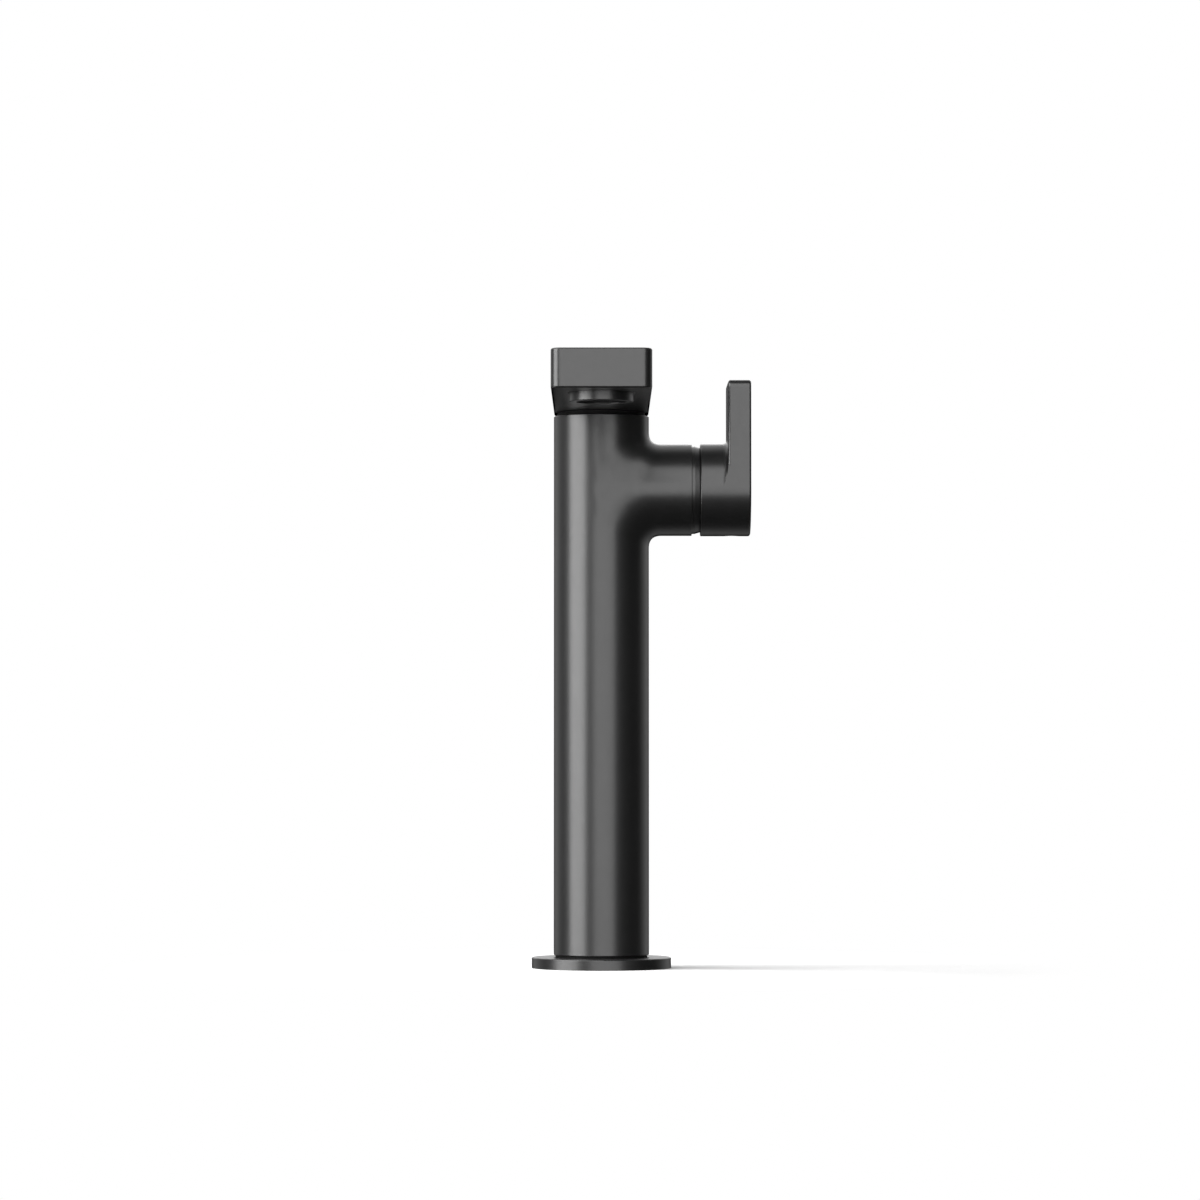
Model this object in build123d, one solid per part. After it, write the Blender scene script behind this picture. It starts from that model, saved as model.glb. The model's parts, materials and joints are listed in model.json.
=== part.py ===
from build123d import *

import math
import os

# A single-hole basin mixer with a side lever. Millimetres, +Z up.
# The origin is the middle of the foot, on the deck. The spout points to -Y and the lever branch to +X.

# Fits
SLIP_FIT = 0.1        # radial gap between a fixed piece and its seat
RUNNING_FIT = 0.05    # radial gap between a turning piece and its bearing
SEAL_FIT = 0.03       # gap between a seal ring and the wall that it wipes
SLIDE_GAP = 0.2       # end gap beside a sliding or turning piece

# Column and its foot
COLUMN_DIAMETER = 40.0
COLUMN_HEIGHT = 226.4
COLUMN_WALL = 3.0
COLUMN_EDGE = 0.4
FLANGE_DIAMETER = 58.5
FLANGE_THICKNESS = 4.5
FLANGE_EDGE = 0.5
FOOT_GAP = 0.9        # height of the shadow gap between flange and column
FOOT_RECESS = 0.7     # how far that gap is set back from the column
DECK_SEAL_WIDTH = 3.6
DECK_SEAL_HEIGHT = 1.8
DECK_SEAL_INSET = 3.4

# Threaded foot insert, its supply ports and the fixing stud's hole
INSERT_DEPTH = 20.0
INSERT_SEAL_RISE = 8.0
INSERT_SEAL_RADIUS = 1.0
HOSE_PORT_RADIUS = 4.5
HOSE_PORT_DEPTH = 12.0
STUD_RADIUS = 3.4
STUD_DEPTH = 16.0
STUD_OFFSET = 10.0

# Supply tubes in the column
TUBE_DIAMETER = 8.0
TUBE_WALL = 1.25
TUBE_OFFSET = 7.0
TUBE_SOCKET_DEPTH = 8.0
TUBE_SEAL_RADIUS = 0.4

# Branch and valve chamber
BRANCH_STEP = 1.5     # column diameter less branch diameter
BRANCH_REACH = 38.0   # column axis to branch end
BRANCH_EDGE = 0.3
BLEND_RADIUS = 3.8
MOUTH_WALL = 2.75
CHAMBER_SHELF = 2.3
BULKHEAD_WALL = 3.5
PORT_RADIUS = 2.6
DRILL_OVERRUN = 1.0   # how far a drilling goes past what it meets
INLET_DRILL_RADIUS = 3.0
INLET_PORT_DROP = 4.0
OUTLET_PORT_RISE = 8.0
OUTLET_RADIUS = 4.5

# Cartridge, stacked inwards from the branch mouth to its seat
CARTRIDGE_GAP = 0.2
HOUSING_WALL = 1.6
HOUSING_END_WALL = 2.5
BASE_RIM = 2.0
BASE_SPIGOT = 1.0
PORT_SEAL_WIDTH = 1.0
PORT_SEAL_HEIGHT = 1.2
DISC_THICKNESS = 3.0
MOVING_DISC_RADIUS = 9.0
MIXING_RADIUS = 5.5
MIXING_DEPTH = 1.8
CARRIER_THICKNESS = 3.8
SPINDLE_LENGTH = 8.5
SPINDLE_NECK_RADIUS = 10.0
SPINDLE_NECK_LENGTH = 4.5
SPINDLE_SEAL_RADIUS = 0.8
PIVOT_RISE = 6.2      # spindle's inner face to the lever's pivot
PIVOT_PIN_RADIUS = 1.5
TILT_DEGREES = 22.0   # lever travel from closed to full flow
NUT_GAP = 0.15        # nut to trim ring
NUT_LENGTH = 4.0
NUT_LIP = 1.0
NUT_SLOT_WIDTH = 4.0
NUT_SLOT_DEPTH = 2.0
NUT_SLOT_COUNT = 4
MOUTH_RELIEF = 1.0

# Lever stem, from its ball in the disc carrier to its square end in the handle
STEM_SIZE = 7.0
STEM_HEEL = 3.7       # square bar's length behind the pivot
STEM_GRIP = 9.0       # length held in the handle
BALL_RADIUS = 1.9
BALL_FLOOR = 0.3
BALL_WIDTH = 5.0
ARM_THICKNESS = 2.6

# Trim ring between branch and handle
RING_STEP = 0.8       # how far the ring is set in from the branch
RING_BAND = 1.2
RING_TAPER = 0.7
RING_TUCK = 0.4       # length that the ring reaches under the handle's skirt
RING_BORE_RADIUS = 12.5
RING_SPIGOT = 1.8

# Lever handle
HUB_STEP = 0.3        # hub diameter less branch diameter
HUB_GAP = 3.6         # branch end to hub
HUB_LENGTH = 21.0
HUB_SKIRT_WALL = 1.2
HUB_CAVITY_DEPTH = 7.5
PLATE_THICKNESS = 9.6
PLATE_RISE = 45.2     # valve axis to lever tip
PLATE_CORNER = 3.0
PLATE_EDGE = 1.0
PLATE_FILLET = 2.1
SET_SCREW_RADIUS = 2.5
SET_SCREW_LENGTH = 8.0
SET_SCREW_KEY = 2.5
SET_SCREW_INSET = 7.8 # hub's outer face to the screw
SCREW_PLUG_RADIUS = 3.3
SCREW_PLUG_LENGTH = 2.5

# Spout
SPOUT_HEIGHT = 15.9
SPOUT_REACH = 135.0   # column axis to spout face
SPOUT_CORNER = 4.0
SPOUT_EDGE = 0.8
SPOUT_GAP = 1.5       # height of the shadow gap between column and spout
SPOUT_GAP_RECESS = 1.5
SPOUT_FLOOR = 4.5
SPOUT_ROOF = 3.5
SPOUT_SIDE_WALL = 5.0
WATERWAY_START = 12.0
SWIVEL_DEGREES = 30.0

# Spout tail, which turns in the column's top
TAIL_SOCKET_RADIUS = 13.0
TAIL_SOCKET_DEPTH = 13.2
TAIL_SOCKET_FLOOR = 3.6
TAIL_END_GAP = 1.0
TAIL_BORE_RADIUS = 7.0
TAIL_SPIGOT_RADIUS = 10.0
TAIL_SEAL_RADIUS = 1.0
TAIL_SEAL_LAND = 1.2
STOP_SCREW_RADIUS = 2.5
STOP_TIP_RADIUS = 1.8
STOP_TIP_LENGTH = 2.0
STOP_SCREW_KEY = 2.5
STOP_SCREW_RECESS = 0.6

# Aerator
AERATOR_SETBACK = 26.5    # spout face to aerator axis
AERATOR_DIAMETER = 25.6
AERATOR_DROP = 3.6
AERATOR_SEAT_DEPTH = 0.8
AERATOR_SEAT_GAP = 0.2
AERATOR_SEAT_CHAMFER = 0.7
AERATOR_EDGE = 0.3
AERATOR_THREAD_RADIUS = 12.0
AERATOR_SOCKET_DEPTH = 3.4
AERATOR_MOUTH_RADIUS = 10.2
AERATOR_LEDGE = 0.8
AERATOR_LEDGE_RISE = 3.0
AERATOR_INSET = 0.5       # collar's rim to the jet face
JET_RADIUS = 0.55
JET_PITCH = 1.9
SCREEN_THICKNESS = 0.5
SCREEN_HOLE_RADIUS = 0.6
GASKET_WIDTH = 2.4
GASKET_THICKNESS = 0.5

# Places worked out from the sizes above
column_radius = COLUMN_DIAMETER / 2
column_bottom = FLANGE_THICKNESS + FOOT_GAP
column_top = column_bottom + COLUMN_HEIGHT
bore_radius = column_radius - COLUMN_WALL
plug_radius = bore_radius - SLIP_FIT
spacer_radius = column_radius - FOOT_RECESS
insert_top = column_bottom + INSERT_DEPTH
insert_seal_height = column_bottom + INSERT_SEAL_RISE
insert_seal_pitch = bore_radius - SEAL_FIT - INSERT_SEAL_RADIUS
deck_seal_outer = FLANGE_DIAMETER / 2 - DECK_SEAL_INSET
deck_seal_inner = deck_seal_outer - DECK_SEAL_WIDTH
tube_radius = TUBE_DIAMETER / 2
tube_bore_radius = tube_radius - TUBE_WALL
tube_socket_radius = tube_radius + SLIP_FIT

branch_radius = (COLUMN_DIAMETER - BRANCH_STEP) / 2
mouth_radius = branch_radius - MOUTH_WALL
chamber_radius = mouth_radius - CHAMBER_SHELF
cartridge_radius = chamber_radius - CARTRIDGE_GAP
housing_bore_radius = cartridge_radius - HOUSING_WALL
disc_seat_radius = housing_bore_radius - SLIP_FIT
tail_socket_bottom = column_top - TAIL_SOCKET_DEPTH
valve_height = tail_socket_bottom - TAIL_SOCKET_FLOOR - chamber_radius
bulkhead_bottom = valve_height - chamber_radius - BULKHEAD_WALL
inlet_height = valve_height - INLET_PORT_DROP
outlet_height = valve_height + OUTLET_PORT_RISE
inlet_sides = (-TUBE_OFFSET, TUBE_OFFSET)
tube_low = insert_top - TUBE_SOCKET_DEPTH
tube_high = bulkhead_bottom + TUBE_SOCKET_DEPTH
tube_seal_heights = (tube_low + TUBE_SOCKET_DEPTH / 2, tube_high - TUBE_SOCKET_DEPTH / 2)
tube_seal_pitch = tube_socket_radius - SEAL_FIT - TUBE_SEAL_RADIUS

ring_start = BRANCH_REACH - RING_SPIGOT
nut_end = ring_start - NUT_GAP
housing_end = nut_end - NUT_LENGTH
spindle_shoulder = housing_end - HOUSING_END_WALL - RUNNING_FIT
neck_end = spindle_shoulder + SPINDLE_NECK_LENGTH
spindle_start = spindle_shoulder - SPINDLE_LENGTH
carrier_end = spindle_start - SLIDE_GAP
moving_disc_end = carrier_end - CARRIER_THICKNESS
fixed_disc_end = moving_disc_end - DISC_THICKNESS
base_end = fixed_disc_end - DISC_THICKNESS
rim_end = base_end - BASE_SPIGOT
seat_x = rim_end - BASE_RIM
port_seal_end = seat_x + PORT_SEAL_HEIGHT
port_places = [(side, inlet_height) for side in inlet_sides] + [(0.0, outlet_height)]
spindle_seal_x = housing_end - HOUSING_END_WALL / 2
spindle_seal_pitch = SPINDLE_NECK_RADIUS + RUNNING_FIT - SEAL_FIT - SPINDLE_SEAL_RADIUS
pivot_x = spindle_start + PIVOT_RISE
ball_x = moving_disc_end + BALL_FLOOR + BALL_RADIUS
lever_arm = pivot_x - ball_x
tilt = math.radians(TILT_DEGREES)
disc_travel = lever_arm * math.sin(tilt)
disc_height = valve_height - disc_travel / 2

ring_radius = branch_radius - RING_STEP
hub_radius = branch_radius + HUB_STEP / 2
hub_start = BRANCH_REACH + HUB_GAP
hub_end = hub_start + HUB_LENGTH
hub_floor = hub_start + HUB_CAVITY_DEPTH
plate_start = hub_end - PLATE_THICKNESS
stem_end = hub_floor + STEM_GRIP
set_screw_x = hub_end - SET_SCREW_INSET
hub_bottom = valve_height - hub_radius
plug_bottom = valve_height - math.sqrt(hub_radius ** 2 - SCREW_PLUG_RADIUS ** 2)
plug_top = plug_bottom + SCREW_PLUG_LENGTH

spout_bottom = column_top + SPOUT_GAP
spout_top = spout_bottom + SPOUT_HEIGHT
waterway_bottom = spout_bottom + SPOUT_FLOOR
waterway_top = spout_top - SPOUT_ROOF
waterway_half_width = column_radius - SPOUT_SIDE_WALL
tail_radius = TAIL_SOCKET_RADIUS - RUNNING_FIT
tail_bottom = tail_socket_bottom + TAIL_END_GAP
tail_seal_pitch = TAIL_SOCKET_RADIUS - SEAL_FIT - TAIL_SEAL_RADIUS
tail_seal_heights = (
    tail_bottom + TAIL_SEAL_LAND + TAIL_SEAL_RADIUS,
    column_top - TAIL_SEAL_LAND - TAIL_SEAL_RADIUS,
)
stop_height = sum(tail_seal_heights) / 2

aerator_y = -(SPOUT_REACH - AERATOR_SETBACK)
aerator_radius = AERATOR_DIAMETER / 2
aerator_bottom = spout_bottom - AERATOR_DROP
aerator_seat = spout_bottom + AERATOR_SEAT_DEPTH
aerator_ceiling = spout_bottom + AERATOR_SOCKET_DEPTH
aerator_ledge = aerator_bottom + AERATOR_LEDGE_RISE
aerator_inner_radius = AERATOR_MOUTH_RADIUS + AERATOR_LEDGE
gasket_bottom = aerator_ceiling - GASKET_THICKNESS
screen_bottom = gasket_bottom - SCREEN_THICKNESS

BASE = (Align.CENTER, Align.CENTER, Align.MIN)
TOLERANCE = 1e-4


def cylinder_z(radius, low, high, x=0.0, y=0.0):
    """Upright cylinder between two heights."""
    return Pos(x, y, low) * Cylinder(radius, high - low, align=BASE)


def tube_z(outer, inner, low, high, x=0.0, y=0.0):
    """Upright ring or tube between two heights."""
    return cylinder_z(outer, low, high, x, y) - cylinder_z(inner, low, high, x, y)


def cylinder_x(radius, low, high, y=0.0, z=valve_height):
    """Cylinder along the branch, between two distances from the column axis."""
    return Pos(low, y, z) * Rot(0, 90, 0) * Cylinder(radius, high - low, align=BASE)


def tube_x(outer, inner, low, high, y=0.0, z=valve_height):
    """Ring or tube along the branch."""
    return cylinder_x(outer, low, high, y, z) - cylinder_x(inner, low, high, y, z)


def cylinder_y(radius, low, high, x, z):
    """Cylinder along Y."""
    return Pos(x, low, z) * Rot(-90, 0, 0) * Cylinder(radius, high - low, align=BASE)


def box_between(low, high):
    """Block between two corners."""
    middle = [(a + b) / 2 for a, b in zip(low, high)]
    return Pos(*middle) * Box(*[b - a for a, b in zip(low, high)])


def hex_key(across, depth):
    """Hexagonal key recess that opens at Z = 0 and goes down."""
    return Pos(0, 0, -depth) * extrude(RegularPolygon(across / 2, 6, major_radius=False), depth)


def rims(solid, axis, position, radius):
    """Round edges of a given radius at a given place along an axis."""
    circles = solid.edges().filter_by(GeomType.CIRCLE)
    at_place = circles.filter_by_position(axis, position - TOLERANCE, position + TOLERANCE)
    return at_place.filter_by(lambda edge: abs(edge.radius - radius) < TOLERANCE)


def cut_ports(solid, start, end):
    """Solid with the two inlet ports and the outlet port cut through it."""
    for y, z in port_places:
        solid -= cylinder_x(PORT_RADIUS, start, end, y, z)
    return solid


# Foot


def base_flange():
    flange = cylinder_z(FLANGE_DIAMETER / 2, 0, FLANGE_THICKNESS)
    flange = fillet(rims(flange, Axis.Z, FLANGE_THICKNESS, FLANGE_DIAMETER / 2), FLANGE_EDGE)
    flange -= cylinder_z(plug_radius + SLIP_FIT, 0, FLANGE_THICKNESS)
    return flange - tube_z(deck_seal_outer, deck_seal_inner, 0, DECK_SEAL_HEIGHT)


def foot_spacer():
    """Ring between flange and column, set back to leave the shadow gap."""
    return tube_z(spacer_radius, plug_radius + SLIP_FIT, FLANGE_THICKNESS, column_bottom)


def deck_seal():
    return tube_z(deck_seal_outer - SLIP_FIT, deck_seal_inner + SLIP_FIT, 0, DECK_SEAL_HEIGHT)


def insert_seal():
    return Pos(0, 0, insert_seal_height) * Torus(insert_seal_pitch, INSERT_SEAL_RADIUS)


def base_insert():
    """Brass plug in the foot of the column, with two supply ports and a stud hole."""
    insert = cylinder_z(plug_radius, 0, insert_top)
    half = INSERT_SEAL_RADIUS + SLIP_FIT
    groove_floor = insert_seal_pitch - INSERT_SEAL_RADIUS
    insert -= tube_z(bore_radius, groove_floor, insert_seal_height - half, insert_seal_height + half)
    for side in inlet_sides:
        insert -= cylinder_z(HOSE_PORT_RADIUS, 0, HOSE_PORT_DEPTH, 0, side)
        insert -= cylinder_z(tube_bore_radius, 0, insert_top, 0, side)
        insert -= cylinder_z(tube_socket_radius, tube_low, insert_top, 0, side)
    return insert - cylinder_z(STUD_RADIUS, 0, STUD_DEPTH, -STUD_OFFSET, 0)


# Column


def column_body():
    """Column and branch in one casting, with the valve seat, its waterways and the spout's socket."""
    column = cylinder_z(column_radius, column_bottom, column_top)
    branch = cylinder_x(branch_radius, 0, BRANCH_REACH)
    body = column + branch
    body = fillet(new_edges(column, branch, combined=body), BLEND_RADIUS)
    body = fillet(rims(body, Axis.Z, column_top, column_radius), COLUMN_EDGE)
    body = fillet(rims(body, Axis.Z, column_bottom, column_radius), COLUMN_EDGE)
    body = fillet(rims(body, Axis.X, BRANCH_REACH, branch_radius), BRANCH_EDGE)
    body -= cylinder_z(bore_radius, column_bottom, bulkhead_bottom)
    body -= cylinder_x(chamber_radius, seat_x, BRANCH_REACH)
    body -= cylinder_x(mouth_radius, housing_end - MOUTH_RELIEF, BRANCH_REACH)
    body -= cylinder_z(TAIL_SOCKET_RADIUS, tail_socket_bottom, column_top)
    port_reach = PORT_RADIUS + DRILL_OVERRUN
    body -= cylinder_z(OUTLET_RADIUS, outlet_height - port_reach, tail_socket_bottom)
    for side in inlet_sides:
        body -= cylinder_z(tube_socket_radius, bulkhead_bottom, tube_high, 0, side)
        body -= cylinder_z(INLET_DRILL_RADIUS, bulkhead_bottom, inlet_height + port_reach, 0, side)
    body = cut_ports(body, 0, seat_x)
    screw_hole = STOP_SCREW_RADIUS + SLIP_FIT
    return body - cylinder_y(screw_hole, TAIL_SOCKET_RADIUS - DRILL_OVERRUN, column_radius, 0, stop_height)


def inlet_tube(side):
    """Supply tube from the foot insert up to the valve seat, grooved for a seal at each end."""
    tube = tube_z(tube_radius, tube_bore_radius, tube_low, tube_high, 0, side)
    groove_floor = tube_seal_pitch - TUBE_SEAL_RADIUS
    half = TUBE_SEAL_RADIUS + SLIP_FIT
    for height in tube_seal_heights:
        tube -= tube_z(tube_socket_radius, groove_floor, height - half, height + half, 0, side)
    return tube


def cold_inlet_tube():
    return inlet_tube(inlet_sides[0])


def hot_inlet_tube():
    return inlet_tube(inlet_sides[1])


def inlet_tube_seals():
    ring = Torus(tube_seal_pitch, TUBE_SEAL_RADIUS)
    places = [(side, height) for side in inlet_sides for height in tube_seal_heights]
    return Compound([Pos(0, side, height) * ring for side, height in places])


# Cartridge


def cartridge_base():
    plate = cylinder_x(cartridge_radius, seat_x, rim_end)
    plate += cylinder_x(disc_seat_radius, seat_x, base_end)
    for y, z in port_places:
        plate -= cylinder_x(PORT_RADIUS + PORT_SEAL_WIDTH, seat_x, port_seal_end, y, z)
    return cut_ports(plate, seat_x, base_end)


def port_seals():
    outer = PORT_RADIUS + PORT_SEAL_WIDTH - SEAL_FIT
    return Compound([tube_x(outer, PORT_RADIUS, seat_x, port_seal_end, y, z) for y, z in port_places])


def fixed_ceramic_disc():
    disc = cylinder_x(disc_seat_radius, base_end, fixed_disc_end)
    return cut_ports(disc, base_end, fixed_disc_end)


def moving_ceramic_disc():
    disc = cylinder_x(MOVING_DISC_RADIUS, fixed_disc_end, moving_disc_end, 0, disc_height)
    pocket_end = fixed_disc_end + MIXING_DEPTH
    return disc - cylinder_x(MIXING_RADIUS, fixed_disc_end, pocket_end, 0, disc_height)


def disc_carrier():
    carrier = cylinder_x(MOVING_DISC_RADIUS, moving_disc_end, carrier_end, 0, disc_height)
    half_width = BALL_WIDTH / 2 + SLIP_FIT
    half_height = BALL_RADIUS + SLIP_FIT
    low = (moving_disc_end, -half_width, valve_height - half_height)
    return carrier - box_between(low, (carrier_end, half_width, valve_height + half_height))


def cartridge_housing():
    shell = cylinder_x(cartridge_radius, rim_end, housing_end)
    shell -= cylinder_x(housing_bore_radius, rim_end, housing_end - HOUSING_END_WALL)
    return shell - cylinder_x(SPINDLE_NECK_RADIUS + RUNNING_FIT, rim_end, housing_end)


def temperature_spindle():
    """Spindle that turns in the housing, slotted for the tilting stem."""
    spindle = cylinder_x(housing_bore_radius - RUNNING_FIT, spindle_start, spindle_shoulder)
    spindle += cylinder_x(SPINDLE_NECK_RADIUS, spindle_start, neck_end)
    half_width = STEM_SIZE / 2 + SLIP_FIT
    half_height = (neck_end - pivot_x) * math.tan(tilt) + STEM_SIZE / 2 / math.cos(tilt) + SLIDE_GAP
    low = (spindle_start, -half_width, valve_height - half_height)
    spindle -= box_between(low, (neck_end, half_width, valve_height + half_height))
    spindle -= cylinder_y(PIVOT_PIN_RADIUS, -cartridge_radius, cartridge_radius, pivot_x, valve_height)
    half = SPINDLE_SEAL_RADIUS + SLIP_FIT
    groove_floor = spindle_seal_pitch - SPINDLE_SEAL_RADIUS
    return spindle - tube_x(cartridge_radius, groove_floor, spindle_seal_x - half, spindle_seal_x + half)


def spindle_seal():
    ring = Torus(spindle_seal_pitch, SPINDLE_SEAL_RADIUS)
    return Pos(spindle_seal_x, 0, valve_height) * Rot(0, 90, 0) * ring


def lever_pivot_pin():
    spindle_radius = housing_bore_radius - RUNNING_FIT
    half_length = math.sqrt(spindle_radius ** 2 - PIVOT_PIN_RADIUS ** 2) - SLIP_FIT
    return cylinder_y(PIVOT_PIN_RADIUS, -half_length, half_length, pivot_x, valve_height)


def cartridge_nut():
    bore = SPINDLE_NECK_RADIUS + NUT_LIP
    nut = tube_x(mouth_radius - SLIP_FIT, bore, housing_end, nut_end)
    half = NUT_SLOT_WIDTH / 2
    slot = box_between((nut_end - NUT_SLOT_DEPTH, bore / 2, -half), (nut_end, mouth_radius, half))
    for index in range(NUT_SLOT_COUNT):
        nut -= Pos(0, 0, valve_height) * Rot(360 / NUT_SLOT_COUNT * index, 0, 0) * slot
    return nut


def trim_ring():
    """Conical ring screwed into the branch mouth over the nut."""
    cone_start = BRANCH_REACH + RING_BAND
    cone_length = hub_start - cone_start
    tip_radius = ring_radius - RING_TAPER
    ring = cylinder_x(ring_radius, BRANCH_REACH, cone_start)
    cone = Cone(ring_radius, tip_radius, cone_length, align=BASE)
    ring += Pos(cone_start, 0, valve_height) * Rot(0, 90, 0) * cone
    tuck = Cone(tip_radius, tip_radius - RING_TUCK, RING_TUCK, align=BASE)
    ring += Pos(hub_start, 0, valve_height) * Rot(0, 90, 0) * tuck
    ring += cylinder_x(mouth_radius - SLIP_FIT, ring_start, BRANCH_REACH)
    return ring - cylinder_x(RING_BORE_RADIUS, ring_start, hub_start + RING_TUCK)


# Lever


def lever_stem():
    """Square bar on the pivot pin, with a ball that drives the disc carrier."""
    half = STEM_SIZE / 2
    heel = pivot_x - STEM_HEEL
    stem = box_between((heel, -half, valve_height - half), (stem_end, half, valve_height + half))
    arm_half = ARM_THICKNESS / 2
    arm_low = (ball_x, -BALL_WIDTH / 2, valve_height - arm_half)
    stem += box_between(arm_low, (heel, BALL_WIDTH / 2, valve_height + arm_half))
    stem += cylinder_y(BALL_RADIUS, -BALL_WIDTH / 2, BALL_WIDTH / 2, ball_x, valve_height)
    return stem - cylinder_y(PIVOT_PIN_RADIUS + RUNNING_FIT, -half, half, pivot_x, valve_height)


def lever_plate():
    """Upright plate, round below like the hub and square above."""
    side = PLATE_RISE / 2
    outline = Pos(0, side) * RectangleRounded(2 * hub_radius, PLATE_RISE, PLATE_CORNER)
    outline += Pos(0, side / 2) * Rectangle(2 * hub_radius, side)
    outline += Circle(hub_radius)
    facing_out = Plane(origin=(plate_start, 0, valve_height), x_dir=(0, 1, 0), z_dir=(1, 0, 0))
    plate = extrude(facing_out * outline, PLATE_THICKNESS)
    faces = plate.faces().filter_by(Axis.X)
    return fillet(faces.edges(), PLATE_EDGE)


def hub_fillet():
    """Cove between the hub and the plate's inner face, cut off flush with the plate's sides."""
    outer = hub_radius + PLATE_FILLET
    start = plate_start - PLATE_FILLET
    cove = tube_x(outer, hub_radius - PLATE_FILLET, start, plate_start + PLATE_EDGE)
    cove -= Pos(start, 0, valve_height) * Rot(0, 90, 0) * Torus(outer, PLATE_FILLET)
    low = (start, -hub_radius, valve_height)
    return cove & box_between(low, (plate_start + PLATE_EDGE, hub_radius, valve_height + outer))


def lever_handle():
    hub = cylinder_x(hub_radius, hub_start, hub_end - PLATE_THICKNESS / 2)
    hub = fillet(rims(hub, Axis.X, hub_start, hub_radius), COLUMN_EDGE)
    handle = hub + hub_fillet() + lever_plate()
    handle -= cylinder_x(hub_radius - HUB_SKIRT_WALL, hub_start, hub_floor)
    half = STEM_SIZE / 2 + SLIP_FIT
    low = (hub_start, -half, valve_height - half)
    handle -= box_between(low, (stem_end + SLIDE_GAP, half, valve_height + half))
    handle -= cylinder_z(SET_SCREW_RADIUS, hub_bottom, valve_height, set_screw_x)
    return handle - cylinder_z(SCREW_PLUG_RADIUS, hub_bottom, plug_top, set_screw_x)


def handle_set_screw():
    tip = valve_height - STEM_SIZE / 2
    tail = tip - SET_SCREW_LENGTH
    screw = cylinder_z(SET_SCREW_RADIUS - RUNNING_FIT, tail, tip, set_screw_x)
    return screw - Pos(set_screw_x, 0, tail) * Rot(180, 0, 0) * hex_key(SET_SCREW_KEY, SET_SCREW_KEY)


def screw_plug():
    return cylinder_z(SCREW_PLUG_RADIUS - SLIP_FIT, plug_bottom, plug_top, set_screw_x)


# Spout


def spout_body():
    """Rectangular spout with a flat waterway, a tail hole and an aerator socket."""
    length = SPOUT_REACH + column_radius
    middle = (column_radius - SPOUT_REACH) / 2
    outline = Pos(0, middle, spout_bottom) * RectangleRounded(COLUMN_DIAMETER, length, SPOUT_CORNER)
    block = extrude(outline, SPOUT_HEIGHT)
    block = fillet(block.faces().filter_by(Axis.Z).edges(), SPOUT_EDGE)
    waterway_end = aerator_y - aerator_inner_radius
    low = (-waterway_half_width, waterway_end, waterway_bottom)
    block -= box_between(low, (waterway_half_width, WATERWAY_START, waterway_top))
    block -= cylinder_z(TAIL_SPIGOT_RADIUS, spout_bottom, waterway_bottom)
    seat_radius = aerator_radius + AERATOR_SEAT_GAP
    block -= cylinder_z(seat_radius, spout_bottom, aerator_seat, 0, aerator_y)
    rim = Cone(seat_radius + AERATOR_SEAT_CHAMFER, seat_radius, AERATOR_SEAT_CHAMFER, align=BASE)
    block -= Pos(0, aerator_y, spout_bottom) * rim
    block -= cylinder_z(AERATOR_THREAD_RADIUS + SLIP_FIT, spout_bottom, aerator_ceiling, 0, aerator_y)
    outlet_radius = aerator_inner_radius - GASKET_WIDTH
    return block - cylinder_z(outlet_radius, spout_bottom, waterway_bottom, 0, aerator_y)


def spout_slide_ring():
    return tube_z(column_radius - SPOUT_GAP_RECESS, TAIL_SOCKET_RADIUS, column_top, spout_bottom)


def spout_tail():
    """Hollow journal screwed into the spout, with two seal grooves and the stop screw's slot."""
    tail = cylinder_z(tail_radius, tail_bottom, spout_bottom)
    tail += cylinder_z(TAIL_SPIGOT_RADIUS - RUNNING_FIT, spout_bottom, waterway_bottom)
    tail -= cylinder_z(TAIL_BORE_RADIUS, tail_bottom, waterway_bottom)
    half = TAIL_SEAL_RADIUS + SLIP_FIT
    for height in tail_seal_heights:
        tail -= tube_z(TAIL_SOCKET_RADIUS, tail_seal_pitch - TAIL_SEAL_RADIUS, height - half, height + half)
    half_slot = STOP_TIP_RADIUS + SLIDE_GAP
    floor = TAIL_SOCKET_RADIUS - STOP_TIP_LENGTH - SLIDE_GAP
    ring = tube_z(TAIL_SOCKET_RADIUS, floor, stop_height - half_slot, stop_height + half_slot)
    sweep = SWIVEL_DEGREES + math.degrees(math.asin(half_slot / floor))
    on_axis = (Align.NONE, Align.NONE, Align.CENTER)
    limits = Cylinder(2 * TAIL_SOCKET_RADIUS, 2 * half_slot, arc_size=2 * sweep, align=on_axis)
    return tail - (ring & Pos(0, 0, stop_height) * Rot(0, 0, 90 - sweep) * limits)


def spout_tail_seals():
    ring = Torus(tail_seal_pitch, TAIL_SEAL_RADIUS)
    return Compound([Pos(0, 0, height) * ring for height in tail_seal_heights])


def spout_stop_screw():
    """Grub screw in the column's back, whose dog point limits the swing."""
    head = column_radius - STOP_SCREW_RECESS
    screw = cylinder_y(STOP_SCREW_RADIUS, TAIL_SOCKET_RADIUS + SLIP_FIT, head, 0, stop_height)
    screw += cylinder_y(STOP_TIP_RADIUS, TAIL_SOCKET_RADIUS - STOP_TIP_LENGTH, head, 0, stop_height)
    return screw - Pos(0, head, stop_height) * Rot(-90, 0, 0) * hex_key(STOP_SCREW_KEY, STOP_SCREW_KEY)


# Aerator


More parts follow.
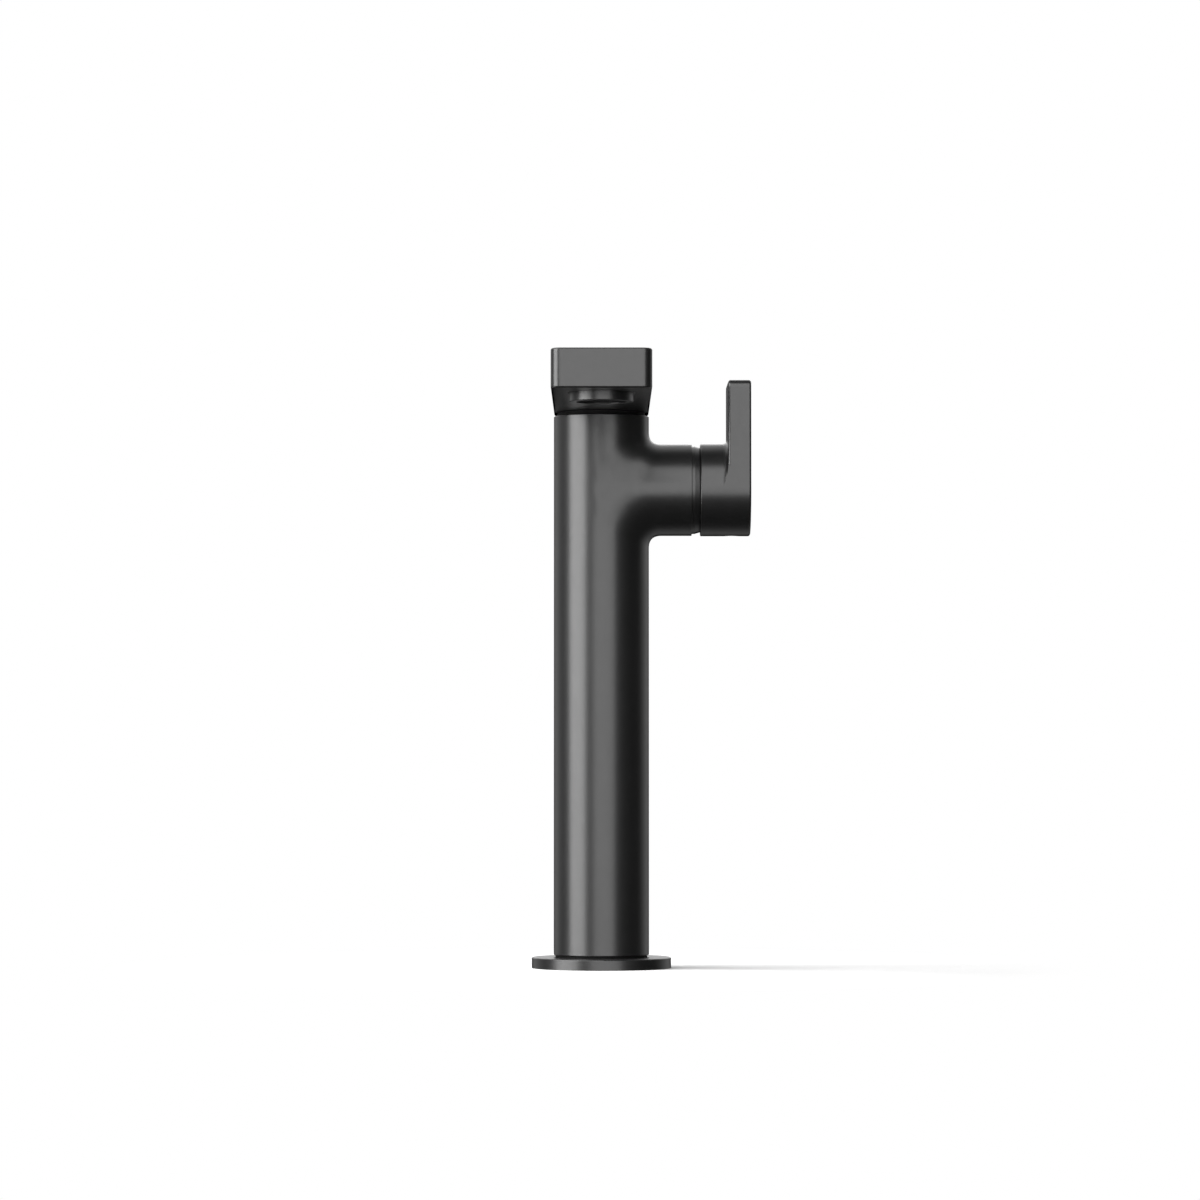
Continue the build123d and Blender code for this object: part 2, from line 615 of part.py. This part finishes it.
def aerator_collar():
    collar = cylinder_z(aerator_radius, aerator_bottom, aerator_seat, 0, aerator_y)
    collar = fillet(rims(collar, Axis.Z, aerator_bottom, aerator_radius), AERATOR_EDGE)
    collar += cylinder_z(AERATOR_THREAD_RADIUS, aerator_seat, screen_bottom, 0, aerator_y)
    collar -= cylinder_z(AERATOR_MOUTH_RADIUS, aerator_bottom, screen_bottom, 0, aerator_y)
    return collar - cylinder_z(aerator_inner_radius, aerator_ledge, screen_bottom, 0, aerator_y)


def hole_grid(pitch, reach):
    """Places of a triangular grid of holes within a radius."""
    rows = int(reach / (pitch * math.sqrt(3) / 2)) + 1
    columns = int(reach / pitch) + 2
    for row in range(-rows, rows + 1):
        for column in range(-columns, columns + 1):
            x = (column + (row % 2) / 2) * pitch
            y = row * pitch * math.sqrt(3) / 2
            if math.hypot(x, y) <= reach:
                yield x, y


def perforated(solid, low, high, hole_radius, reach):
    """Solid with a grid of small water holes cut through it."""
    places = hole_grid(JET_PITCH, reach)
    return solid - [cylinder_z(hole_radius, low, high, x, aerator_y + y) for x, y in places]


def aerator_insert():
    """Jet former: a stepped cup with a perforated face."""
    bottom = aerator_bottom + AERATOR_INSET
    cup = cylinder_z(AERATOR_MOUTH_RADIUS - SLIP_FIT, bottom, screen_bottom, 0, aerator_y)
    cup += cylinder_z(aerator_inner_radius - SLIP_FIT, aerator_ledge, screen_bottom, 0, aerator_y)
    reach = AERATOR_MOUTH_RADIUS - JET_PITCH
    return perforated(cup, bottom, screen_bottom, JET_RADIUS, reach)


def aerator_screen():
    disc = cylinder_z(aerator_inner_radius, screen_bottom, gasket_bottom, 0, aerator_y)
    reach = aerator_inner_radius - GASKET_WIDTH - SCREEN_HOLE_RADIUS
    return perforated(disc, screen_bottom, gasket_bottom, SCREEN_HOLE_RADIUS, reach)


def aerator_gasket():
    inner = aerator_inner_radius - GASKET_WIDTH
    return tube_z(aerator_inner_radius, inner, gasket_bottom, aerator_ceiling, 0, aerator_y)


PIECES = (
    base_flange,
    foot_spacer,
    deck_seal,
    base_insert,
    insert_seal,
    column_body,
    cold_inlet_tube,
    hot_inlet_tube,
    inlet_tube_seals,
    cartridge_base,
    port_seals,
    fixed_ceramic_disc,
    moving_ceramic_disc,
    disc_carrier,
    cartridge_housing,
    temperature_spindle,
    spindle_seal,
    lever_pivot_pin,
    cartridge_nut,
    trim_ring,
    lever_stem,
    lever_handle,
    handle_set_screw,
    screw_plug,
    spout_body,
    spout_slide_ring,
    spout_tail,
    spout_tail_seals,
    spout_stop_screw,
    aerator_collar,
    aerator_insert,
    aerator_screen,
    aerator_gasket,
)

os.makedirs("parts", exist_ok=True)
for piece in PIECES:
    export_step(piece(), f"parts/{piece.__name__}.step")
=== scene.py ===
import json
import math

import bmesh
import bpy
import numpy as np
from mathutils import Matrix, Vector


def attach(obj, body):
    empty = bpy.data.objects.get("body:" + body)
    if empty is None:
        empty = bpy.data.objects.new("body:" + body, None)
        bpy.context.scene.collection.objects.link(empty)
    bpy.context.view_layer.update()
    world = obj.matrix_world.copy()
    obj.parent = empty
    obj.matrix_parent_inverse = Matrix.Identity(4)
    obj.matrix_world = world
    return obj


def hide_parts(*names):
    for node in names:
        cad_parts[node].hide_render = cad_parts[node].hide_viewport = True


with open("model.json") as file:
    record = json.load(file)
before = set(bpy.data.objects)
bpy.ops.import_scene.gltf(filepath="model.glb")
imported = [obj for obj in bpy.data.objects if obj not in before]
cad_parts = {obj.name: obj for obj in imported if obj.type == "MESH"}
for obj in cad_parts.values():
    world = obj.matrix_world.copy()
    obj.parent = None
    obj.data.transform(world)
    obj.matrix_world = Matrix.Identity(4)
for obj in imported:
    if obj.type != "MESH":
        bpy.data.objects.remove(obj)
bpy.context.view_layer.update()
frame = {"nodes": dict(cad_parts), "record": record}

# Camera: in front of the spout, level with the column's lower half and a long way off. Metres and degrees.
VIEW_DISTANCE = 1.960
VIEW_HEIGHT = 0.0871
VIEW_OFFSET = -0.00058
VIEW_PITCH = 1.97
LENS = 139.75
SENSOR = 36.0

# Studio: each softbox by the directions that it covers, seen from the middle of the faucet.
# Azimuth 0 is the camera's side and negative is left; elevation is above the horizon. Degrees and metres.
LIT_POINT = Vector((0.0, 0.0, 0.16))
FRONT_BOX = {"azimuth": (-21, 34), "elevation": (-14, 58), "distance": 4.0, "radiance": 1.5}
LEFT_BOX = {"azimuth": (-83, -38), "elevation": (-10, 50), "distance": 3.2, "radiance": 3.5}
KEY_BOX = {"azimuth": (-108, -82), "elevation": (42, 62), "distance": 1.4, "radiance": 18.0}
LAMP_POWER = 4.0          # watts per square metre of lamp for each unit of radiance

# Surroundings that the coat mirrors: dim in front, paler at the back on both sides and more so higher up,
# and straight behind dark at the horizon with a bright wall above it. Each change of level lies between two
# places on a sphere of radius 1, measured behind the faucet or above the horizon.
SURROUND_DIM = 0.03
SURROUND_PALE = 0.38
SURROUND_DARK = 0.03
SURROUND_WALL = 2.0
PALE_FROM_TO = (0.2, 0.7)
RISE_FROM_TO = (-0.5, 0.7)
RISE_SHARES = (0.5, 1.5)
BEHIND_FROM_TO = (0.84, 0.96)
WALL_FROM_TO = (0.08, 0.3)

# Column skin, in millimetres: the CAD column with a wider blend where the branch leaves it
MM_PER_METRE = 1000
COLUMN_RADIUS = 20.0
COLUMN_BOTTOM = 5.4
COLUMN_TOP = 231.8
COLUMN_ROUNDING = 0.4
BORE_RADIUS = 17.0
BORE_TOP = 183.1
SOCKET_RADIUS = 13.0
SOCKET_BOTTOM = 218.6
BRANCH_RADIUS = 19.25
BRANCH_HEIGHT = 200.8
BRANCH_END = 38.0
BRANCH_ROUNDING = 0.3
MOUTH_RADIUS = 16.5
MOUTH_START = 31.05
CHAMBER_RADIUS = 14.2
CHAMBER_START = 8.0
BLEND_ACROSS = 5.2        # half width of the blend where the two surfaces meet squarely
BLEND_ALONG = 6.0         # and how much more where they meet at a slant
LEAST_BLEND = 1e-6
BRANCH_EASE = 8.0         # how slowly the branch gives way to the column beyond the axis
SCREW_HOLE_RADIUS = 2.6
SCREW_HOLE_HEIGHT = 225.7
SCREW_HOLE_SIDES = 48
DRILL_LENGTH = 20.0

# Mesh of the column skin: a patch of the column's wall round the branch, in rows from its edge to the blend
# and on along the branch. Lengths are in millimetres, or in metres where the name says so.
PATCH_HALF_HEIGHT = 30.0
PATCH_ROUND = 96
PATCH_UP = 48
PATCH_SLANT = 0.6         # height over width of the patch as its edge is dealt out round the branch
COLUMN_ROWS = 36
COLUMN_CROWDING = 1.8     # power by which the rows draw closer towards the blend
BRANCH_ROWS = 28
BRANCH_CROWDING = 1.6
ROUNDING_ROWS = 4
SETTLE_ROUNDS = 6
SETTLE_STEP = 1e-3
LEAST_STEEPNESS = 0.2
MERGE_METRES = 1e-7
SLIVER_METRES = 1e-8
SHARP_DEGREES = 35

# Floor
FLOOR_RADIUS = 1.2
FLOOR_SIDES = 96
FLOOR_WHITE = 0.10        # share of the floor's white that no shadow touches
FLOOR_SHADED = 0.80       # share that takes the light and the shadow
FLOOR_FADE = (0.09, 0.21)     # metres from the column between which the shadow fades out

# Shaders
WHITE = (1.0, 1.0, 1.0, 1.0)
NOISE_FROM_TO = (0.3, 0.7)    # part of a noise's range that is spread over a finish's levels or tones


# Shader nodes


def add(tree, kind, inputs=None, **settings):
    """New node, with its settings, and with each input linked or set."""
    node = tree.nodes.new(kind)
    for name, value in settings.items():
        setattr(node, name, value)
    for name, value in (inputs or {}).items():
        if isinstance(value, bpy.types.NodeSocket):
            tree.links.new(value, node.inputs[name])
        else:
            node.inputs[name].default_value = value
    return node


def new_material(name, **sockets):
    """Material with one principled shader, whose plain sockets are set by name."""
    material = bpy.data.materials.new(name)
    material.use_nodes = True
    tree = material.node_tree
    tree.nodes.clear()
    shader = add(tree, "ShaderNodeBsdfPrincipled")
    for socket, value in sockets.items():
        shader.inputs[socket.replace("_", " ")].default_value = value
    add(tree, "ShaderNodeOutputMaterial", {"Surface": shader.outputs["BSDF"]})
    return material, tree, shader


def noise(tree, scale, detail=2.0, stretch=(1.0, 1.0, 1.0)):
    """Noise value in the frame's own metres, drawn out along an axis where stretch is under 1."""
    coords = add(tree, "ShaderNodeTexCoord").outputs["Object"]
    mapped = add(tree, "ShaderNodeMapping", {"Vector": coords, "Scale": stretch})
    inputs = {"Vector": mapped.outputs["Vector"], "Scale": scale, "Detail": detail}
    return add(tree, "ShaderNodeTexNoise", inputs).outputs["Fac"]


def spread(tree, value, low, high):
    """Noise value spread between two levels."""
    inputs = {"Value": value, "From Min": NOISE_FROM_TO[0], "From Max": NOISE_FROM_TO[1]}
    inputs |= {"To Min": low, "To Max": high}
    return add(tree, "ShaderNodeMapRange", inputs).outputs["Result"]


def tone(tree, value, dark, light):
    """Colour between two tones."""
    ramp = add(tree, "ShaderNodeValToRGB", {"Fac": value})
    first, last = ramp.color_ramp.elements
    first.position, last.position = NOISE_FROM_TO
    first.color, last.color = (*dark, 1.0), (*light, 1.0)
    return ramp.outputs["Color"]


def relief(tree, height, distance):
    """Bumped normal from a height, with its depth in metres."""
    return add(tree, "ShaderNodeBump", {"Height": height, "Distance": distance}).outputs["Normal"]


def dress(tree, shader, colour, roughness, normal):
    """Links colour, roughness and relief to the shader."""
    for socket, value in (("Base Color", colour), ("Roughness", roughness), ("Normal", normal)):
        tree.links.new(value, shader.inputs[socket])


# Finishes


def black_coat():
    """Satin black coat: a broad sheen under a tighter one, with a fine orange peel and slight cloudiness."""
    sheen = {"IOR": 1.5, "Specular_IOR_Level": 0.4, "Coat_Weight": 1.0, "Coat_IOR": 1.68}
    material, tree, shader = new_material("satin_black_coat", **sheen)
    colour = tone(tree, noise(tree, 45), (0.0018, 0.0018, 0.0019), (0.0030, 0.0030, 0.0032))
    roughness = spread(tree, noise(tree, 320, 4.0), 0.50, 0.55)
    peel = relief(tree, noise(tree, 2600, 3.0), 1.0e-6)
    dress(tree, shader, colour, roughness, peel)
    tree.links.new(spread(tree, noise(tree, 320, 4.0), 0.275, 0.305), shader.inputs["Coat Roughness"])
    tree.links.new(peel, shader.inputs["Coat Normal"])
    return material


def brass():
    """Turned brass with fine tool marks round the axis and a little tarnish."""
    material, tree, shader = new_material("turned_brass", Metallic=1.0)
    colour = tone(tree, noise(tree, 160, 4.0), (0.50, 0.32, 0.11), (0.78, 0.57, 0.27))
    roughness = spread(tree, noise(tree, 500, 3.0), 0.24, 0.40)
    dress(tree, shader, colour, roughness, relief(tree, noise(tree, 900, 2.0, (0.05, 0.05, 4.0)), 6.0e-6))
    return material


def steel():
    """Machined stainless steel with drawn-out brush marks."""
    material, tree, shader = new_material("machined_steel", Metallic=1.0)
    marks = noise(tree, 1400, 3.0, (1.0, 0.04, 1.0))
    colour = tone(tree, noise(tree, 220), (0.42, 0.43, 0.44), (0.60, 0.61, 0.62))
    dress(tree, shader, colour, spread(tree, marks, 0.22, 0.38), relief(tree, marks, 3.0e-6))
    return material


def rubber():
    """Moulded black rubber, dull and slightly dusty."""
    material, tree, shader = new_material("moulded_rubber", Specular_IOR_Level=0.35)
    colour = tone(tree, noise(tree, 260, 4.0), (0.010, 0.010, 0.010), (0.024, 0.024, 0.023))
    roughness = spread(tree, noise(tree, 1200), 0.55, 0.75)
    dress(tree, shader, colour, roughness, relief(tree, noise(tree, 3000, 2.0), 6.0e-6))
    return material


def ceramic():
    """Lapped white ceramic with faint specks."""
    material, tree, shader = new_material("lapped_ceramic", IOR=1.7)
    colour = tone(tree, noise(tree, 1800, 2.0), (0.74, 0.72, 0.67), (0.84, 0.83, 0.79))
    roughness = spread(tree, noise(tree, 700), 0.12, 0.22)
    dress(tree, shader, colour, roughness, relief(tree, noise(tree, 4000), 0.6e-6))
    return material


def moulded_plastic(name, dark, light, roughness_range):
    """Moulded plastic with a fine spark-eroded grain."""
    material, tree, shader = new_material(name, IOR=1.48, Specular_IOR_Level=0.18)
    colour = tone(tree, noise(tree, 120, 3.0), dark, light)
    roughness = spread(tree, noise(tree, 900, 3.0), *roughness_range)
    dress(tree, shader, colour, roughness, relief(tree, noise(tree, 3200, 3.0), 4.0e-6))
    return material


FINISHES = {
    "black_coat": black_coat(),
    "brass": brass(),
    "steel": steel(),
    "rubber": rubber(),
    "ceramic": ceramic(),
    "cartridge_plastic": moulded_plastic("pale_grain", (0.62, 0.62, 0.59), (0.72, 0.72, 0.69), (0.35, 0.5)),
    "black_plastic": moulded_plastic("black_grain", (0.004,) * 3, (0.007,) * 3, (0.6, 0.75)),
}


def finish_nodes():
    """Gives each piece the finish of its slot."""
    for part in frame["record"]["subparts"]:
        piece = frame["nodes"][part["node"]]
        piece.data.materials.clear()
        piece.data.materials.append(FINISHES[part["material_slot"]])


# Column skin


def blended(points):
    """Signed distance, in millimetres, to the column and branch with a smooth blend between them."""
    x, y, up = points.T
    column_reach, branch_reach = np.hypot(x, y), np.hypot(y, up)
    to_column = column_reach - COLUMN_RADIUS
    to_branch = branch_reach - BRANCH_RADIUS + np.minimum(x, 0.0) ** 2 / BRANCH_EASE
    slant = np.clip(y * y / (column_reach * branch_reach), 0.0, 1.0)
    width = (BLEND_ACROSS + BLEND_ALONG * slant) * np.sqrt(1.0 - slant ** 2) + LEAST_BLEND
    overlap = np.maximum(width - np.abs(to_column - to_branch), 0.0) / width
    return np.minimum(to_column, to_branch) - overlap ** 2 * width / 4


def slope_at(points):
    """Slope of the signed distance along each axis."""
    steps = SETTLE_STEP * np.eye(3)
    rises = [blended(points + step) - blended(points - step) for step in steps]
    return np.stack(rises, axis=1) / (2 * SETTLE_STEP)


def settle(points):
    """Points moved onto the blended surface."""
    for _ in range(SETTLE_ROUNDS):
        slope = slope_at(points)
        steepness = np.maximum((slope ** 2).sum(axis=1), LEAST_STEEPNESS)
        points = points - slope * (blended(points) / steepness)[:, None]
    return points


def patch_edge():
    """Edge of the unrolled patch round the branch, as lengths round and up the column."""
    half_round = math.pi * COLUMN_RADIUS
    across = np.linspace(-half_round, half_round, PATCH_ROUND + 1)
    upward = np.linspace(-PATCH_HALF_HEIGHT, PATCH_HALF_HEIGHT, PATCH_UP + 1)[1:-1]
    top = [(s, PATCH_HALF_HEIGHT) for s in across[::-1]]
    left = [(-half_round, u) for u in upward[::-1]]
    bottom = [(s, -PATCH_HALF_HEIGHT) for s in across]
    right = [(half_round, u) for u in upward]
    return np.array(top + left + bottom + right)


def rounding(radius, rows):
    """Steps of a quarter round, as lengths inwards and along."""
    turns = [math.pi / 2 * row / rows for row in range(1, rows + 1)]
    return [(radius * (1 - math.cos(turn)), radius * math.sin(turn)) for turn in turns]


def on_column(flat):
    """Points on the column's wall, from lengths round and up it."""
    angle = flat[:, 0] / COLUMN_RADIUS
    return np.stack((COLUMN_RADIUS * np.cos(angle), COLUMN_RADIUS * np.sin(angle), flat[:, 1]), axis=1)


def tee_rows():
    """Rows of points from the patch's edge over the blend, along the branch and into its bore."""
    edge = patch_edge()
    half_round = math.pi * COLUMN_RADIUS
    turn = np.arctan2(edge[:, 1] / PATCH_HALF_HEIGHT * PATCH_SLANT, edge[:, 0] / half_round)
    y, up = BRANCH_RADIUS * np.cos(turn), BRANCH_RADIUS * np.sin(turn)
    meet = np.stack((COLUMN_RADIUS * np.arcsin(y / COLUMN_RADIUS), up), axis=1)
    rows = []
    for row in range(COLUMN_ROWS, -1, -1):
        share = (row / COLUMN_ROWS) ** COLUMN_CROWDING
        rows.append(on_column(meet + (edge - meet) * share))
    start = rows[-1][:, 0]
    last = BRANCH_END - BRANCH_ROUNDING
    for row in range(1, BRANCH_ROWS + 1):
        share = (row / BRANCH_ROWS) ** BRANCH_CROWDING
        rows.append(np.stack((start + (last - start) * share, y, up), axis=1))
    rows = [settle(row) for row in rows]
    corner = rounding(BRANCH_ROUNDING, ROUNDING_ROWS)
    profile = [(last + along, BRANCH_RADIUS - inward) for inward, along in corner]
    profile += [(BRANCH_END, MOUTH_RADIUS), (MOUTH_START, MOUTH_RADIUS), (MOUTH_START, CHAMBER_RADIUS)]
    profile += [(CHAMBER_START, CHAMBER_RADIUS), (CHAMBER_START, 0.0)]
    for x, radius in profile:
        rows.append(np.stack((np.full_like(turn, x), radius * np.cos(turn), radius * np.sin(turn)), axis=1))
    return rows


def end_rows(edge_row, rim, direction, bore, bore_end):
    """Rows of points from the patch to one end of the column and back inside its bore."""
    base = rim - direction * COLUMN_ROUNDING
    profile = [(base - direction * COLUMN_ROUNDING / 2, COLUMN_RADIUS), (base, COLUMN_RADIUS)]
    for inward, along in rounding(COLUMN_ROUNDING, ROUNDING_ROWS):
        profile.append((base + direction * along, COLUMN_RADIUS - inward))
    profile += [(rim, bore), (bore_end, bore), (bore_end, 0.0)]
    rows = [edge_row]
    for height, radius in profile:
        row = edge_row * (radius / COLUMN_RADIUS)
        row[:, 2] = height - BRANCH_HEIGHT
        rows.append(row)
    return rows


def skin_vertex(form, point):
    """New vertex at a point whose height is measured from the branch's axis."""
    x, y, up = point
    return form.verts.new((x / MM_PER_METRE, y / MM_PER_METRE, (up + BRANCH_HEIGHT) / MM_PER_METRE))


def skin_faces(form, rows, closed):
    """Adds the faces between rows of points to a mesh form."""
    rows = [[skin_vertex(form, point) for point in row] for row in rows]
    count = len(rows[0])
    for low, high in zip(rows, rows[1:]):
        for index in range(count if closed else count - 1):
            after = (index + 1) % count
            form.faces.new((low[index], low[after], high[after], high[index]))


def drilled(piece):
    """Mesh of a piece with the stop screw's hole cut through its back."""
    form = bmesh.new()
    radius = SCREW_HOLE_RADIUS / MM_PER_METRE
    bmesh.ops.create_cone(form, cap_ends=True, segments=SCREW_HOLE_SIDES, radius1=radius, radius2=radius,
                          depth=DRILL_LENGTH / MM_PER_METRE)
    drill_mesh = bpy.data.meshes.new("drill")
    form.to_mesh(drill_mesh)
    form.free()
    drill = bpy.data.objects.new("drill", drill_mesh)
    drill.location = (0.0, COLUMN_RADIUS / MM_PER_METRE, SCREW_HOLE_HEIGHT / MM_PER_METRE)
    drill.rotation_euler = (math.pi / 2, 0.0, 0.0)
    bpy.context.scene.collection.objects.link(drill)
    cut = piece.modifiers.new("hole", "BOOLEAN")
    cut.object = drill
    bpy.context.view_layer.update()
    mesh = bpy.data.meshes.new_from_object(piece.evaluated_get(bpy.context.evaluated_depsgraph_get()))
    piece.modifiers.remove(cut)
    bpy.data.objects.remove(drill)
    return mesh


def column_skin():
    """Column and branch with the photograph's wide blend, in place of the CAD column."""
    tee = tee_rows()
    corner = PATCH_ROUND + 1
    upper = tee[0][:corner]
    lower = tee[0][corner + PATCH_UP - 1:2 * corner + PATCH_UP - 1]
    form = bmesh.new()
    skin_faces(form, tee, closed=True)
    skin_faces(form, end_rows(upper, COLUMN_TOP, 1, SOCKET_RADIUS, SOCKET_BOTTOM), closed=False)
    skin_faces(form, end_rows(lower, COLUMN_BOTTOM, -1, BORE_RADIUS, BORE_TOP), closed=False)
    bmesh.ops.remove_doubles(form, verts=form.verts, dist=MERGE_METRES)
    bmesh.ops.dissolve_degenerate(form, edges=form.edges, dist=SLIVER_METRES)
    bmesh.ops.recalc_face_normals(form, faces=form.faces)
    mesh = bpy.data.meshes.new("column_skin")
    form.to_mesh(mesh)
    form.free()
    piece = bpy.data.objects.new("column_skin", mesh)
    bpy.context.scene.collection.objects.link(piece)
    piece.data = drilled(piece)
    piece.data.materials.clear()
    piece.data.materials.append(FINISHES["black_coat"])
    piece.data.shade_smooth()
    piece.data.set_sharp_from_angle(angle=math.radians(SHARP_DEGREES))
    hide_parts("column_body")
    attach(piece, "column")


# Studio


def towards(azimuth, elevation):
    """Unit direction from the faucet at an azimuth and elevation in degrees."""
    a, e = math.radians(azimuth), math.radians(elevation)
    return Vector((math.sin(a) * math.cos(e), -math.cos(a) * math.cos(e), math.sin(e)))


def softbox(name, azimuth, elevation, distance, radiance, mirrored=True):
    """Rectangular lamp that covers a range of directions and faces the faucet; the coat may mirror it."""
    lamp = bpy.data.lights.new(name, "AREA")
    lamp.shape = "RECTANGLE"
    half_width = math.radians(azimuth[1] - azimuth[0]) / 2
    half_height = math.radians(elevation[1] - elevation[0]) / 2
    lamp.size = 2 * distance * math.tan(half_width)
    lamp.size_y = 2 * distance * math.tan(half_height)
    lamp.energy = LAMP_POWER * lamp.size * lamp.size_y * radiance
    box = bpy.data.objects.new(name, lamp)
    direction = towards(sum(azimuth) / 2, sum(elevation) / 2)
    box.location = LIT_POINT + direction * distance
    box.rotation_euler = direction.to_track_quat("Z", "Y").to_euler()
    box.visible_glossy = mirrored
    bpy.context.scene.collection.objects.link(box)


def smooth_step(tree, value, between, levels):
    """Value that goes smoothly from one level to another between two places."""
    inputs = {"Value": value, "From Min": between[0], "From Max": between[1]}
    inputs |= {"To Min": levels[0], "To Max": levels[1]}
    return add(tree, "ShaderNodeMapRange", inputs, interpolation_type="SMOOTHSTEP").outputs["Result"]


def surround():
    """World that is white to the camera, and for light and reflections a dim studio."""
    world = bpy.data.worlds.new("studio")
    world.use_nodes = True
    tree = world.node_tree
    tree.nodes.clear()
    direction = add(tree, "ShaderNodeTexCoord").outputs["Generated"]
    parts = add(tree, "ShaderNodeSeparateXYZ", {"Vector": direction}).outputs
    rise = smooth_step(tree, parts["Z"], RISE_FROM_TO, RISE_SHARES)
    back = smooth_step(tree, parts["Y"], PALE_FROM_TO, (0.0, SURROUND_PALE))
    lifted = {0: back, 1: rise, 2: SURROUND_DIM}
    pale = add(tree, "ShaderNodeMath", lifted, operation="MULTIPLY_ADD").outputs["Value"]
    behind = smooth_step(tree, parts["Y"], BEHIND_FROM_TO, (0.0, 1.0))
    wall_levels = (SURROUND_DARK - SURROUND_PALE, SURROUND_WALL - SURROUND_PALE)
    wall = smooth_step(tree, parts["Z"], WALL_FROM_TO, wall_levels)
    sum_up = {0: behind, 1: wall, 2: pale}
    level = add(tree, "ShaderNodeMath", sum_up, operation="MULTIPLY_ADD").outputs["Value"]
    mirrored = add(tree, "ShaderNodeBackground", {"Color": WHITE, "Strength": level})
    seen = add(tree, "ShaderNodeBackground", {"Color": WHITE, "Strength": 1.0})
    to_camera = add(tree, "ShaderNodeLightPath").outputs["Is Camera Ray"]
    mixed = add(tree, "ShaderNodeMixShader", {0: to_camera, 1: mirrored.outputs[0], 2: seen.outputs[0]})
    add(tree, "ShaderNodeOutputWorld", {"Surface": mixed.outputs[0]})
    bpy.context.scene.world = world


def floor_material():
    """Pale paper, white to the camera apart from the shadow, which fades out away from the faucet."""
    material = bpy.data.materials.new("floor_paper")
    material.use_nodes = True
    tree = material.node_tree
    tree.nodes.clear()
    glow = add(tree, "ShaderNodeEmission", {"Color": WHITE, "Strength": FLOOR_WHITE})
    paper = add(tree, "ShaderNodeBsdfDiffuse", {"Color": (FLOOR_SHADED,) * 3 + (1.0,)})
    shaded = add(tree, "ShaderNodeAddShader", {0: glow.outputs[0], 1: paper.outputs[0]})
    white = add(tree, "ShaderNodeEmission", {"Color": WHITE, "Strength": 1.0})
    place = add(tree, "ShaderNodeTexCoord").outputs["Object"]
    away = add(tree, "ShaderNodeVectorMath", {0: place}, operation="LENGTH").outputs["Value"]
    fade = smooth_step(tree, away, FLOOR_FADE, (0.0, 1.0))
    seen = add(tree, "ShaderNodeMixShader", {0: fade, 1: shaded.outputs[0], 2: white.outputs[0]})
    to_camera = add(tree, "ShaderNodeLightPath").outputs["Is Camera Ray"]
    mixed = add(tree, "ShaderNodeMixShader", {0: to_camera, 1: paper.outputs[0], 2: seen.outputs[0]})
    add(tree, "ShaderNodeOutputMaterial", {"Surface": mixed.outputs[0]})
    return material


def floor():
    """Round floor under the foot, which the coat doesn't mirror."""
    turns = [2 * math.pi * index / FLOOR_SIDES for index in range(FLOOR_SIDES)]
    rim = [(FLOOR_RADIUS * math.cos(turn), FLOOR_RADIUS * math.sin(turn), 0.0) for turn in turns]
    mesh = bpy.data.meshes.new("floor")
    mesh.from_pydata(rim, [], [range(FLOOR_SIDES)])
    mesh.materials.append(floor_material())
    disc = bpy.data.objects.new("floor", mesh)
    disc.visible_glossy = False
    disc.visible_shadow = False
    bpy.context.scene.collection.objects.link(disc)


def camera():
    """Long lens at the photograph's viewpoint."""
    lens = bpy.data.cameras.new("camera")
    lens.lens = LENS
    lens.sensor_width = SENSOR
    view = bpy.data.objects.new("camera", lens)
    view.location = (VIEW_OFFSET, -VIEW_DISTANCE, VIEW_HEIGHT)
    view.rotation_euler = (math.radians(90 + VIEW_PITCH), 0.0, 0.0)
    bpy.context.scene.collection.objects.link(view)
    bpy.context.scene.camera = view


finish_nodes()
column_skin()
surround()
floor()
softbox("front_box", **FRONT_BOX)
softbox("left_box", **LEFT_BOX)
softbox("key_box", **KEY_BOX, mirrored=False)
camera()
bpy.context.scene.view_settings.view_transform = "Standard"
